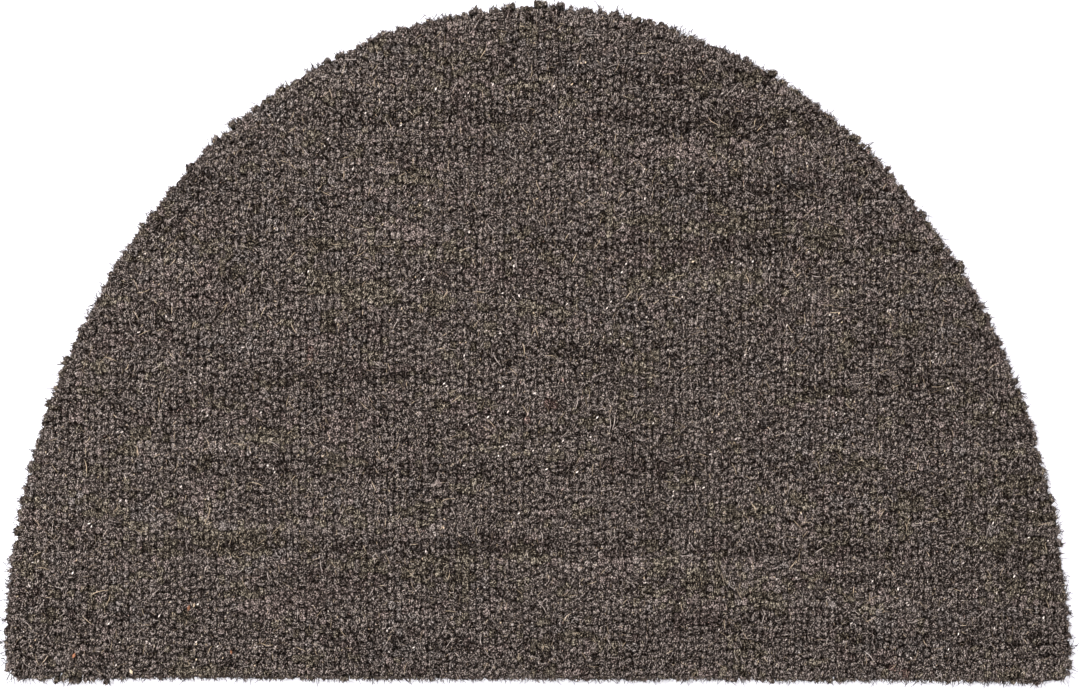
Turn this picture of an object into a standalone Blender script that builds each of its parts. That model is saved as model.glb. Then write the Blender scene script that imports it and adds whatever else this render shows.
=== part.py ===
"""A half-round doormat of tufted coir, cut whole from a roll: one solid.

The mat lies flat with its straight edge towards -Y and its round edge towards +Y. The origin is
the middle of the underside. The backing is cut cleanly along a half oval. The pile stands on it,
leans out past the cut in clumps of tufts, and has long shallow furrows and ridges across its top.
"""

import math
from typing import NamedTuple

import bmesh
import bpy
import numpy as np
from mathutils.geometry import delaunay_2d_cdt

# Driving sizes, in metres. The cut is the backing's edge, and the pile leans out past it.
CUT_WIDTH = 0.795
CUT_DEPTH = 0.500
HEIGHT = 0.017
BACKING = 0.002
SPLAY = 0.0045
CORNER_RADIUS = 0.008

# The clumps of tufts around the rim
CLUMPS = 200
CLUMP_WIDTH_SPREAD = 0.35
SHOULDERS = (0.27, 0.73)
LEAST_LEAN = 0.42
GAP_LEAN = 0.10
BELLY_HEIGHT = 0.0112
BROW_HEIGHT = 0.0152
HEIGHT_SPREAD = 0.0007
BROW_INSET = 0.0024

# The lumps of the pile's top
ROW_PITCH = 0.0098
LUMP_PITCH = 0.0146
LUMP_SHIFT = 0.18
LUMP_DIP = 0.0019
TOP_MARGIN = 0.0062
FURROW_ROOM = 0.0004

SEED = 41
TOLERANCE = 1e-6
PILE_COLOUR = (0.105, 0.086, 0.076, 1.0)


class Stray(NamedTuple):
    """A clump at the rim that leans further out than its neighbours, and about where it is."""

    x: float
    y: float
    lean: float


STRAYS = (
    Stray(x=0.002, y=0.255, lean=0.0068),
    Stray(x=0.049, y=0.250, lean=0.0056),
    Stray(x=0.017, y=0.253, lean=0.0054),
    Stray(x=0.181, y=0.202, lean=0.0058),
    Stray(x=0.261, y=0.137, lean=0.0056),
    Stray(x=0.402, y=-0.238, lean=0.0046),
    Stray(x=0.334, y=-0.250, lean=0.0070),
    Stray(x=0.385, y=-0.250, lean=0.0058),
    Stray(x=-0.080, y=-0.250, lean=0.0056),
    Stray(x=-0.332, y=-0.250, lean=0.0058),
    Stray(x=-0.401, y=-0.226, lean=0.0042),
    Stray(x=-0.230, y=0.165, lean=0.0060),
    Stray(x=-0.245, y=0.150, lean=0.0056),
)


class Streak(NamedTuple):
    """A long soft ridge (lift above 0) or furrow (below 0) across the pile."""

    x: float
    y: float
    length: float
    breadth: float
    slant: float
    lift: float


# x and y are the middle, from the origin. slant is the rise over the run.
STREAKS = (
    Streak(x=0.020, y=0.204, length=0.340, breadth=0.014, slant=-0.010, lift=-0.0009),
    Streak(x=-0.180, y=0.170, length=0.120, breadth=0.022, slant=-0.060, lift=-0.0011),
    Streak(x=0.120, y=0.166, length=0.260, breadth=0.014, slant=-0.015, lift=-0.0013),
    Streak(x=-0.160, y=0.133, length=0.170, breadth=0.012, slant=0.000, lift=0.0005),
    Streak(x=0.180, y=0.117, length=0.190, breadth=0.013, slant=-0.020, lift=-0.0009),
    Streak(x=-0.100, y=0.078, length=0.130, breadth=0.012, slant=-0.050, lift=0.0006),
    Streak(x=0.120, y=0.074, length=0.250, breadth=0.013, slant=0.000, lift=-0.0008),
    Streak(x=0.150, y=0.036, length=0.220, breadth=0.012, slant=-0.010, lift=0.0005),
    Streak(x=-0.150, y=0.026, length=0.260, breadth=0.012, slant=-0.020, lift=0.0004),
    Streak(x=0.050, y=-0.005, length=0.180, breadth=0.012, slant=0.000, lift=-0.0010),
    Streak(x=-0.150, y=-0.029, length=0.200, breadth=0.014, slant=0.000, lift=-0.0010),
    Streak(x=0.310, y=-0.028, length=0.140, breadth=0.020, slant=0.010, lift=-0.0009),
    Streak(x=-0.130, y=-0.075, length=0.300, breadth=0.012, slant=-0.010, lift=0.0005),
    Streak(x=-0.140, y=-0.098, length=0.240, breadth=0.014, slant=0.000, lift=-0.0009),
    Streak(x=0.130, y=-0.098, length=0.160, breadth=0.012, slant=-0.010, lift=-0.0008),
    Streak(x=0.300, y=-0.119, length=0.160, breadth=0.014, slant=0.030, lift=-0.0009),
    Streak(x=-0.120, y=-0.155, length=0.480, breadth=0.013, slant=0.004, lift=-0.0015),
    Streak(x=0.220, y=-0.161, length=0.340, breadth=0.014, slant=-0.008, lift=-0.0013),
    Streak(x=0.260, y=-0.189, length=0.240, breadth=0.013, slant=0.000, lift=-0.0011),
    Streak(x=-0.180, y=-0.196, length=0.300, breadth=0.011, slant=0.004, lift=0.0005),
    Streak(x=0.170, y=-0.216, length=0.260, breadth=0.011, slant=0.000, lift=-0.0008),
    Streak(x=0.020, y=-0.233, length=0.280, breadth=0.011, slant=0.006, lift=0.0005),
)


def cut_edge():
    """Close points along the cut, anticlockwise: straight edge, corner, half oval, corner.

    The oval is x = a cos t, y = b sin t. It takes over from a corner's arc at the corner's height,
    where its side is still upright.
    """
    a, b, r = CUT_WIDTH / 2, CUT_DEPTH, CORNER_RADIUS
    turn = np.linspace(-math.pi / 2, 0, 12, endpoint=False)
    start = math.asin(r / b)
    t = np.linspace(start, math.pi - start, 900)
    straight = np.stack([np.linspace(r - a, a - r, 400, endpoint=False), np.zeros(400)], 1)
    right = np.stack([a - r + r * np.cos(turn), r + r * np.sin(turn)], 1)
    oval = np.stack([a * np.cos(t), b * np.sin(t)], 1)
    left = right[::-1] * (-1, 1)
    return np.concatenate([straight, right, oval, left]) - (0, CUT_DEPTH / 2)


class Rim:
    """The cut edge as a curve of its own length, with places for the clumps of tufts."""

    def __init__(self):
        points = cut_edge()
        self.loop = np.concatenate([points, points[:1]])
        steps = np.linalg.norm(np.diff(self.loop, axis=0), axis=1)
        self.run = np.concatenate([[0], np.cumsum(steps)])
        self.length = self.run[-1]

    def at(self, along):
        """The points of the cut edge at these lengths along it."""
        along = np.mod(along, self.length)
        return np.stack([np.interp(along, self.run, self.loop[:, k]) for k in (0, 1)], 1)

    def outwards(self, along):
        """The directions at right angles to the cut edge, pointing away from the mat."""
        ahead = self.at(along + CORNER_RADIUS / 4) - self.at(along - CORNER_RADIUS / 4)
        ahead /= np.linalg.norm(ahead, axis=1, keepdims=True)
        return np.stack([ahead[:, 1], -ahead[:, 0]], 1)

    def offset(self, along, distance, height):
        """A ring of 3-D points that stands out from the cut edge by distance, at height."""
        flat = self.at(along) + self.outwards(along) * np.reshape(distance, (-1, 1))
        return np.column_stack([flat, np.broadcast_to(height, len(along))])


def clump_places(rim, random):
    """Three places for each clump along the rim, its gap and its two shoulders, and their leans."""
    widths = random.uniform(1 - CLUMP_WIDTH_SPREAD, 1 + CLUMP_WIDTH_SPREAD, CLUMPS)
    widths *= rim.length / widths.sum()
    starts = np.cumsum(widths) - widths
    along = np.stack([starts, *(starts + widths * share for share in SHOULDERS)], 1)
    lean = np.empty((CLUMPS, 3))
    lean[:, 0] = random.uniform(0, GAP_LEAN, CLUMPS)
    lean[:, 1:] = random.uniform(LEAST_LEAN, 1, (CLUMPS, 1))
    lean[:, 2] *= random.uniform(0.8, 1, CLUMPS)
    lean *= SPLAY
    middles = rim.at(starts + widths / 2)
    for stray in STRAYS:
        nearest = np.argmin(np.linalg.norm(middles - (stray.x, stray.y), axis=1))
        lean[nearest, 1:] = stray.lean
    return along.ravel(), lean.ravel()


def rim_rings(rim, random):
    """The rings of the mat's side, from the underside up: foot, backing, belly and brow."""
    along, lean = clump_places(rim, random)
    belly = BELLY_HEIGHT + random.uniform(-2, 2, CLUMPS) * HEIGHT_SPREAD
    brow = BROW_HEIGHT + random.uniform(-1, 1, CLUMPS) * HEIGHT_SPREAD
    return [
        rim.offset(along, 0, 0),
        rim.offset(along, 0, BACKING),
        rim.offset(along, lean, np.repeat(belly, 3)),
        rim.offset(along, lean - BROW_INSET, np.repeat(brow, 3)),
    ]


def lump_places(random):
    """Staggered rows of points inside the pile's brow, each a little out of place."""
    a, b = CUT_WIDTH / 2 - TOP_MARGIN, CUT_DEPTH - TOP_MARGIN
    rows = np.arange(TOP_MARGIN, b, ROW_PITCH)
    columns = np.arange(-a, a, LUMP_PITCH)
    x, y = np.meshgrid(columns, rows)
    x[1::2] += LUMP_PITCH / 2
    x += random.uniform(-1, 1, x.shape) * LUMP_PITCH * LUMP_SHIFT
    y += random.uniform(0, 1, y.shape) * ROW_PITCH * LUMP_SHIFT
    inside = (x / a) ** 2 + (y / b) ** 2 < 1
    return np.stack([x[inside], y[inside] - CUT_DEPTH / 2], 1)


def streak_lift(x, y):
    """How far the ridges and furrows raise the pile: each is a soft bump, long in its own line."""
    lift = np.zeros_like(x)
    for s in STREAKS:
        across = (y - s.y - s.slant * (x - s.x)) / (s.breadth / 2)
        beside = (x - s.x) / (s.length / 2)
        lift += s.lift * np.exp(-(across**2) - beside**4)
    return lift


def pile_height(flat, random):
    """The height of the pile's top at these points."""
    lumps = HEIGHT - FURROW_ROOM - random.uniform(0, LUMP_DIP, len(flat))
    return np.minimum(lumps + streak_lift(flat[:, 0], flat[:, 1]), HEIGHT)


def bridge(mesh, lower, upper):
    """A band of faces between two rings of the same number of points."""
    for k in range(len(lower)):
        following = (k + 1) % len(lower)
        mesh.faces.new((lower[k], lower[following], upper[following], upper[k]))


def add_top(mesh, brow, lumps):
    """Triangles over the pile, from the brow's ring to the lumps inside it."""
    flat = [v.co.xy for v in brow] + [point[:2] for point in lumps]
    corners, _, faces, came_from, _, _ = delaunay_2d_cdt(
        flat, [], [range(len(brow))], 1, TOLERANCE
    )
    if len(corners) != len(flat):
        raise ValueError("two points of the pile's top coincide")
    ready = brow + [mesh.verts.new(point) for point in lumps]
    for face in faces:
        mesh.faces.new([ready[came_from[corner][0]] for corner in face])


def coir_material():
    """Grey-brown dyed coir: rough, with no shine of its own."""
    material = bpy.data.materials.new("dyed coir")
    material.use_nodes = True
    shader = material.node_tree.nodes["Principled BSDF"]
    shader.inputs["Base Color"].default_value = PILE_COLOUR
    shader.inputs["Roughness"].default_value = 0.95
    shader.inputs["Metallic"].default_value = 0.0
    return material


def build_mat():
    """The whole mat: a flat underside, a cut backing, a clumpy side and a lumpy top."""
    random = np.random.default_rng(SEED)
    mesh = bmesh.new()
    rings = [[mesh.verts.new(point) for point in ring] for ring in rim_rings(Rim(), random)]
    mesh.faces.new(reversed(rings[0]))
    for lower, upper in zip(rings, rings[1:]):
        bridge(mesh, lower, upper)
    flat = lump_places(random)
    add_top(mesh, rings[-1], np.column_stack([flat, pile_height(flat, random)]))
    bmesh.ops.triangulate(mesh, faces=mesh.faces[:])
    data = bpy.data.meshes.new("coir_mat")
    mesh.to_mesh(data)
    mesh.free()
    data.shade_smooth()
    data.set_sharp_from_angle(angle=math.radians(60))
    data.materials.append(coir_material())
    mat = bpy.data.objects.new("coir_mat", data)
    bpy.context.scene.collection.objects.link(mat)
    return mat


for leftover in list(bpy.data.objects):
    bpy.data.objects.remove(leftover)
build_mat()
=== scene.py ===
"""The looks of a half-round coir doormat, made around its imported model.

It is run as a script in Blender. The mat lies in the X-Y plane, with its straight edge towards -Y,
its round edge towards +Y and its pile up, and every size is in metres. The matting is one closed
sheet, cut along a half oval. The tufts of the pile stand on it, a ring of longer tufts leans out
past the cut, and single fibres have worked loose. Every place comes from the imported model's own
outline and from the height of its top.
"""

import math
from typing import NamedTuple

import bpy
import numpy as np
from bpy.props import FloatProperty, FloatVectorProperty, IntProperty, PointerProperty
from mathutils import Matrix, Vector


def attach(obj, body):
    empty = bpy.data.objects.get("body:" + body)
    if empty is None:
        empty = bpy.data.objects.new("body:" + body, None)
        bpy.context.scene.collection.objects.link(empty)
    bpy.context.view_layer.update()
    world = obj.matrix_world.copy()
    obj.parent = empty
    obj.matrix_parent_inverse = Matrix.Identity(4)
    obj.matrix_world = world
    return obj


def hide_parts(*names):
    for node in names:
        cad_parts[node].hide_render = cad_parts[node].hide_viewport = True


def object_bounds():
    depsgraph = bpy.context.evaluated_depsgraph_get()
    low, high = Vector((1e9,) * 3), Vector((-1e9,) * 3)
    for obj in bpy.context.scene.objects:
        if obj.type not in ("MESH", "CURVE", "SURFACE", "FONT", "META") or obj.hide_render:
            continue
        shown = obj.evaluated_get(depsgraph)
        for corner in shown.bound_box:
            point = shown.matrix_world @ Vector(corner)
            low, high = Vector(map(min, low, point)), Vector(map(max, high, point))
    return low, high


bl_info = {
    "name": "Half-round coir mat",
    "version": (1, 0, 0),
    "blender": (4, 5, 0),
    "location": "3D View > Sidebar > Coir Mat",
    "description": "Makes the matting, pile, rim tufts and loose fibres of a coir doormat",
    "category": "Mesh",
}

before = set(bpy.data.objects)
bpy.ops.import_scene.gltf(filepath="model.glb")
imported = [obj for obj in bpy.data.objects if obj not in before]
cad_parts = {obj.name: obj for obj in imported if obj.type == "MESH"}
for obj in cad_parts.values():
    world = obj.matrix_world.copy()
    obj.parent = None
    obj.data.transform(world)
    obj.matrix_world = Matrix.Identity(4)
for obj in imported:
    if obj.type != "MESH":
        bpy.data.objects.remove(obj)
CAD_LOW, CAD_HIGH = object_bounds()

NODE = "coir_mat"
BODY = "root"
PALETTE = "OFBake"

MM = 0.001
FULL_TURN = 2 * math.pi
GOLDEN_TURN = math.pi * (3 - math.sqrt(5))
UP = np.array([0.0, 0.0, 1.0])
NEARLY_NOTHING = 1e-6

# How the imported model's points are told apart by their height, as shares of the whole height
CUT_ZONE = (-0.01, 0.01)
BELLY_ZONE = (0.53, 0.77)
TOP_ZONE = (0.775, 1.01)
# A point inside the mat, from which every direction meets the cut once
PIVOT = np.array([0.0, -0.12])


class Tint(NamedTuple):
    """A dye lot: what it multiplies a fibre's colour by, how rare its patches are in the pile, and
    its share of the fibres outside all patches.
    """

    name: str
    factor: tuple
    rareness: float
    share: float


TINTS = (
    Tint("plain", (1.00, 1.00, 1.00), 0.0, 0.66),
    Tint("olive", (0.98, 0.995, 0.86), 0.75, 0.13),
    Tint("plum", (1.03, 0.98, 0.99), 0.90, 0.09),
    Tint("slate", (0.965, 1.0, 1.03), 1.10, 0.06),
    Tint("straw", (1.12, 1.03, 0.80), math.inf, 0.05),
    Tint("rust", (1.55, 0.86, 0.55), math.inf, 0.0),
    Tint("rose", (1.15, 0.94, 0.92), math.inf, 0.01),
    Tint("undyed", (1.24, 1.28, 1.30), math.inf, 0.0),
)
TINT_NUMBER = {tint.name: number for number, tint in enumerate(TINTS)}
# How a tint's share of a tuft's fibres rises from the edge of its patches, and where it stops
TINT_EDGE = 0.6
TINT_RISE = 2.2
MOST_TINTED = 0.6
PATCH_TINTED = 0.27

# The palette is the map that gives a colour for each tone and tint. The ends of each tint's band
# are left bare, and the corners of a face lie a step apart or more.
PALETTE_MARGIN = 0.09
PALETTE_STEP = 0.0015
# Where things lie up a band: the heart of a tuft and of a leaning one, the root and tip of a fibre
# that lies over, a hair and a bit of husk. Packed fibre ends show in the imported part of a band.
KNOB_PLACE = 0.70
LOCK_PLACE = 0.76
FIBRE_PLACES = (0.94, 0.98)
HAIR_PLACE = 0.93
CHIP_PLACE = 0.92
PACKED_PART = 0.80
# Packed fibre ends: how much of the palette a metre of them takes, how many lie across it and up
# it, how uneven they are, how wide the cracks between them are, and how dark their painted shade is
GRAIN_PER_METRE = 5.3
GRAIN_SCALE = (390.0, 135.0)
GRAIN_UNEVEN = 0.8
CRACK_WIDTH = 0.22
CRACK_PAINTED_SHADE = 0.95
SHEEN_LEVEL = 0.04

# The heart of a tuft: its greatest reach, the girths and drops from its top of the brow, where it
# meets its neighbours, and of the shoulder, the drop of its peak, and how uneven it is
WIDEST = 0.0048
KNOB_SIDES = 8
BROW_GIRTH = 1.13
BROW_DROP = 2.0 * MM
SHOULDER_GIRTH = 0.91
SHOULDER_DROP = 0.25 * MM
PEAK_DROP = 0.3 * MM
KNOB_UNEVEN = 0.06
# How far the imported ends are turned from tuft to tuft, in radians
GRAIN_TURN = 0.7
# Tones: how much paler a heart is, its painted shade down at the brow, and how much tufts differ
KNOB_TONE = 0.09
BROW_PAINTED_SHADE = 1.6
TUFT_TONE = 0.035

# The upright tufts: half sizes as shares of the column pitch and of the length, and how much the
# tufts differ in height and in lean
HALF_WIDTH = 0.68
HALF_LENGTH = 0.66
TOP_NOISE = 0.12 * MM
LEAN_NOISE = 0.2 * MM
# Inside the rim's room: how far in the last row and the columns start, the share of the rim's lean
# and the drop in height that a tuft has at its border, and how both fall off from there
LAST_ROW = 1.8 * MM
COLUMNS_START = 4.0 * MM
LEAN_SHARE = 0.45
RIM_DROP = 0.8 * MM
LEAN_FALL = 6 * MM

# The leaning tufts: how far they stray round the cut as a share of their pitch, how far inside it
# they stand, how much less they lean near the ends of the straight edge and how far up from it, and
# their tone
LOCK_STRAY = 0.28
LOCK_FOOT = 1.8 * MM
CORNER_LESS = 1.3 * MM
CORNER_DEPTH = 0.07
RIM_TONE = -0.06
# The rings of a leaning tuft's heart: heights as shares of its own, girths, and the radius that it
# is unrolled at on the palette
LOCK_SIDES = 6
LOCK_HEIGHTS = np.array([0, 0.3, 0.62, 0.88, 1.0])
LOCK_GIRTHS = np.array([0.70, 0.84, 0.98, 0.90, 0.45])
LOCK_RADIUS = 2.5 * MM
SKIRT_WIDTH = 0.00045

# Fibres that lie over on a tuft: how far out on it they start, how much lower at its side, their
# heights above it and lengths in millimetres, and how far they stray from the brushed way
SPOT_SPREAD = 0.81
SPOT_DROP = 0.5 * MM
STROKE_HEIGHTS = (-0.5, 0.25)
STROKE_LENGTHS = (1.2, 2.3)
BRUSH_STRAY = 0.8
# Their tones: how much paler they are than the tuft, how much they differ, how much painted shade
# makes them darker at the tuft's side and paler at its middle, how much painted shade darkens their
# own root, and the painted light and shade from a fibre's middle to its edges, one paler, one darker
STROKE_TONE = 0.05
STROKE_DIFFER = 0.17
CROWN_PAINTED_SHADE = 0.08
FIBRE_ROOT_PAINTED_SHADE = 0.05
FIBRE_EDGE_LIGHT_AND_SHADE = 0.45

# Loose things: how many strands and specks there are, how many hairs stand in a bunch at the rim,
# and how long the longest of those is
STRAND_COUNT = 2600
SPECK_COUNT = 320
BUNCH = 4
LONGEST_WISP = 10 * MM


class Combed(NamedTuple):
    """A side of the rim that leans further out: the way it faces, how squarely the cut has to face
    that way before it does, and how far it leans at most.
    """

    x: float
    y: float
    beyond: float
    further: float


COMBED = (
    Combed(x=0.00, y=-1.00, beyond=0.0, further=1.9 * MM),
    Combed(x=0.85, y=0.50, beyond=0.0, further=1.3 * MM),
    Combed(x=-0.70, y=0.70, beyond=0.6, further=2.0 * MM),
)


class Streak(NamedTuple):
    """A row of tufts that is darker (tone below 0) or paler (above 0) than the pile around it."""

    x: float
    y: float
    length: float
    breadth: float
    slant: float
    tone: float


# x and y are a streak's middle, and slant is its rise over its run.
STREAKS = (
    Streak(x=0.016, y=0.205, length=0.320, breadth=0.010, slant=-0.010, tone=-0.07),
    Streak(x=0.080, y=0.196, length=0.150, breadth=0.011, slant=0.000, tone=-0.05),
    Streak(x=-0.150, y=0.166, length=0.140, breadth=0.014, slant=0.000, tone=-0.08),
    Streak(x=-0.036, y=0.173, length=0.080, breadth=0.010, slant=0.000, tone=-0.06),
    Streak(x=0.133, y=0.169, length=0.190, breadth=0.011, slant=-0.015, tone=-0.11),
    Streak(x=0.122, y=0.158, length=0.090, breadth=0.012, slant=0.000, tone=-0.06),
    Streak(x=0.100, y=0.145, length=0.050, breadth=0.009, slant=0.000, tone=0.09),
    Streak(x=-0.168, y=0.134, length=0.130, breadth=0.010, slant=-0.045, tone=0.07),
    Streak(x=-0.250, y=0.123, length=0.060, breadth=0.010, slant=0.000, tone=-0.07),
    Streak(x=0.182, y=0.116, length=0.150, breadth=0.011, slant=-0.030, tone=-0.08),
    Streak(x=-0.100, y=0.080, length=0.100, breadth=0.011, slant=-0.060, tone=0.08),
    Streak(x=0.124, y=0.076, length=0.210, breadth=0.011, slant=0.000, tone=-0.09),
    Streak(x=-0.288, y=0.059, length=0.060, breadth=0.010, slant=0.000, tone=0.07),
    Streak(x=0.270, y=0.055, length=0.090, breadth=0.010, slant=0.000, tone=0.07),
    Streak(x=0.140, y=0.046, length=0.140, breadth=0.011, slant=-0.010, tone=0.09),
    Streak(x=-0.074, y=0.030, length=0.180, breadth=0.011, slant=-0.020, tone=0.06),
    Streak(x=0.026, y=-0.004, length=0.130, breadth=0.010, slant=0.000, tone=-0.09),
    Streak(x=-0.156, y=-0.026, length=0.150, breadth=0.011, slant=0.000, tone=-0.09),
    Streak(x=0.306, y=-0.026, length=0.100, breadth=0.013, slant=0.010, tone=-0.07),
    Streak(x=0.249, y=-0.033, length=0.200, breadth=0.020, slant=0.000, tone=-0.04),
    Streak(x=-0.205, y=-0.047, length=0.100, breadth=0.014, slant=0.000, tone=-0.06),
    Streak(x=-0.140, y=-0.079, length=0.460, breadth=0.010, slant=0.000, tone=0.08),
    Streak(x=0.245, y=-0.079, length=0.100, breadth=0.010, slant=0.000, tone=0.08),
    Streak(x=0.006, y=-0.094, length=0.440, breadth=0.010, slant=0.000, tone=-0.08),
    Streak(x=0.314, y=-0.111, length=0.120, breadth=0.012, slant=0.020, tone=-0.07),
    Streak(x=-0.250, y=-0.121, length=0.070, breadth=0.009, slant=0.000, tone=0.07),
    Streak(x=0.193, y=-0.124, length=0.085, breadth=0.010, slant=0.000, tone=0.08),
    Streak(x=0.000, y=-0.139, length=0.740, breadth=0.009, slant=-0.004, tone=0.07),
    Streak(x=-0.149, y=-0.152, length=0.430, breadth=0.010, slant=0.004, tone=-0.11),
    Streak(x=0.230, y=-0.155, length=0.330, breadth=0.010, slant=-0.008, tone=-0.10),
    Streak(x=-0.020, y=-0.164, length=0.700, breadth=0.009, slant=-0.004, tone=0.07),
    Streak(x=-0.135, y=-0.176, length=0.115, breadth=0.010, slant=0.000, tone=-0.07),
    Streak(x=0.290, y=-0.177, length=0.180, breadth=0.011, slant=0.000, tone=-0.09),
    Streak(x=-0.200, y=-0.194, length=0.340, breadth=0.009, slant=0.004, tone=0.07),
    Streak(x=0.200, y=-0.193, length=0.370, breadth=0.008, slant=0.000, tone=0.07),
    Streak(x=-0.340, y=-0.204, length=0.085, breadth=0.009, slant=0.000, tone=-0.08),
    Streak(x=0.165, y=-0.206, length=0.150, breadth=0.009, slant=0.000, tone=-0.07),
    Streak(x=0.260, y=-0.222, length=0.250, breadth=0.008, slant=0.000, tone=-0.08),
    Streak(x=0.125, y=-0.229, length=0.380, breadth=0.009, slant=0.006, tone=0.06),
)
# How strongly the darker streaks and the paler ones show
DARK_STRENGTH = 0.88
PALE_STRENGTH = 0.85


class Waver(NamedTuple):
    """One size of the soft unevenness of tone over the whole pile."""

    length: float
    breadth: float
    tone: float


WAVERS = (
    Waver(length=0.180, breadth=0.0085, tone=0.018),
    Waver(length=0.060, breadth=0.0075, tone=0.019),
    Waver(length=0.020, breadth=0.0080, tone=0.010),
    Waver(length=0.090, breadth=0.0500, tone=0.010),
)


class Flake(NamedTuple):
    """A bit of husk caught in the pile."""

    x: float
    y: float
    length: float
    tint: str
    tone: float


FLAKES = (
    Flake(x=-0.347, y=-0.235, length=0.0048, tint="rust", tone=0.66),
    Flake(x=-0.261, y=-0.199, length=0.0050, tint="rust", tone=0.55),
    Flake(x=-0.257, y=-0.197, length=0.0034, tint="straw", tone=0.80),
    Flake(x=-0.229, y=-0.232, length=0.0036, tint="rust", tone=0.60),
    Flake(x=0.019, y=-0.027, length=0.0036, tint="rose", tone=0.72),
    Flake(x=-0.304, y=-0.247, length=0.0046, tint="straw", tone=0.95),
)


# The middles of the brightest bits of undyed husk, as x and y.
BRIGHT_BITS = (
    (0.063, 0.054), (-0.086, 0.048), (-0.014, 0.036), (0.022, 0.030), (0.055, 0.032), (0.052, 0.027),
    (-0.070, -0.030), (-0.068, -0.032), (-0.026, -0.077), (-0.003, -0.080), (0.045, -0.055),
    (-0.037, -0.055), (-0.022, -0.051), (-0.026, -0.032), (-0.055, -0.009), (0.007, -0.094),
    (0.030, -0.096), (-0.002, -0.037), (0.333, -0.152), (0.369, -0.144), (0.271, -0.183),
    (0.330, -0.183), (0.358, -0.173), (0.345, -0.186), (0.380, -0.204), (0.309, -0.228),
    (0.343, -0.212), (0.342, -0.133), (-0.336, -0.136), (-0.334, -0.138), (-0.321, -0.211),
    (-0.267, -0.108), (-0.254, -0.196), (-0.283, -0.205), (-0.348, -0.173), (-0.077, 0.191),
)


class Strand(NamedTuple):
    """A long pale fibre that lies on the pile: its middle, length, way, bend and tint.

    The angle is in degrees from +X, and the bend is a share of the length, to the right if above 0.
    """

    x: float
    y: float
    length: float
    angle: float
    bend: float
    tint: str


STRANDS = (
    Strand(x=-0.246, y=-0.128, length=0.009, angle=-50, bend=1.3, tint="straw"),
    Strand(x=-0.329, y=-0.187, length=0.014, angle=45, bend=0.5, tint="straw"),
    Strand(x=-0.287, y=-0.188, length=0.011, angle=62, bend=0.3, tint="plain"),
    Strand(x=-0.324, y=-0.143, length=0.009, angle=78, bend=0.3, tint="plain"),
    Strand(x=0.250, y=-0.233, length=0.011, angle=-32, bend=0.3, tint="undyed"),
    Strand(x=0.030, y=-0.044, length=0.010, angle=62, bend=-0.3, tint="plain"),
    Strand(x=0.055, y=-0.060, length=0.012, angle=-70, bend=0.4, tint="plain"),
    Strand(x=0.058, y=-0.058, length=0.010, angle=-75, bend=0.4, tint="plain"),
    Strand(x=-0.010, y=-0.004, length=0.009, angle=-62, bend=0.4, tint="straw"),
    Strand(x=-0.031, y=-0.012, length=0.011, angle=-75, bend=-0.3, tint="plain"),
    Strand(x=-0.103, y=0.040, length=0.010, angle=75, bend=0.5, tint="plain"),
    Strand(x=-0.338, y=-0.093, length=0.010, angle=-65, bend=0.3, tint="straw"),
)


class Patch(NamedTuple):
    """A few tufts that took the dye differently."""

    x: float
    y: float
    radius: float
    tint: str


PATCHES = (
    Patch(x=-0.171, y=-0.007, radius=0.006, tint="rose"),
    Patch(x=-0.008, y=-0.053, radius=0.006, tint="rose"),
    Patch(x=0.009, y=-0.045, radius=0.005, tint="rose"),
    Patch(x=0.292, y=0.169, radius=0.008, tint="rose"),
    Patch(x=0.272, y=-0.250, radius=0.009, tint="rose"),
    Patch(x=-0.030, y=0.216, radius=0.008, tint="plum"),
)


class MatPile(bpy.types.PropertyGroup):
    """Sizes of the tufts that make the pile."""

    column_pitch: FloatProperty(
        name="Column pitch",
        description="Distance between the columns of tufts, along the straight edge",
        default=0.0051,
        unit="LENGTH",
    )
    shortest: FloatProperty(
        name="Shortest tuft",
        description="Least length that a tuft takes up in its column",
        default=0.0038,
        unit="LENGTH",
    )
    longest: FloatProperty(
        name="Longest tuft",
        description="Greatest length that a tuft takes up in its column",
        default=0.0077,
        unit="LENGTH",
    )
    bed: FloatProperty(
        name="Bed height",
        description="Height of the packed lower pile, where the gaps between tufts end",
        default=0.0124,
        unit="LENGTH",
    )
    stray: FloatProperty(
        name="Stray",
        description="How far tufts usually stand out of their column",
        default=0.0006,
        unit="LENGTH",
    )
    strokes: IntProperty(
        name="Strokes",
        description="Fibres on a tuft that lie over to one side",
        default=8,
    )
    stroke_width: FloatProperty(
        name="Stroke width",
        description="Width of a fibre that lies over",
        default=0.00066,
        unit="LENGTH",
    )
    bands: IntProperty(
        name="Bands",
        description="Number of pieces that the pile is made in",
        default=5,
    )
    seed: IntProperty(name="Seed", description="Which random arrangement", default=7)


class MatRim(bpy.types.PropertyGroup):
    """Sizes of the tufts that lean out around the cut."""

    pitch: FloatProperty(
        name="Rim pitch",
        description="Distance between the tufts around the cut",
        default=0.0034,
        unit="LENGTH",
    )
    backing: FloatProperty(
        name="Backing",
        description="Thickness of the backing that the yarn is tufted into",
        default=0.002,
        unit="LENGTH",
    )
    room: FloatProperty(
        name="Rim room",
        description="Distance from the cut in which only the leaning tufts stand",
        default=0.0020,
        unit="LENGTH",
    )
    fibres: IntProperty(
        name="Skirt fibres",
        description="Fibres down the outer side of each leaning tuft",
        default=24,
    )
    wisps: IntProperty(
        name="Wisps",
        description="Single hairs that stand out around the cut",
        default=3200,
    )
    seed: IntProperty(name="Seed", description="Which random arrangement", default=11)


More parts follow.
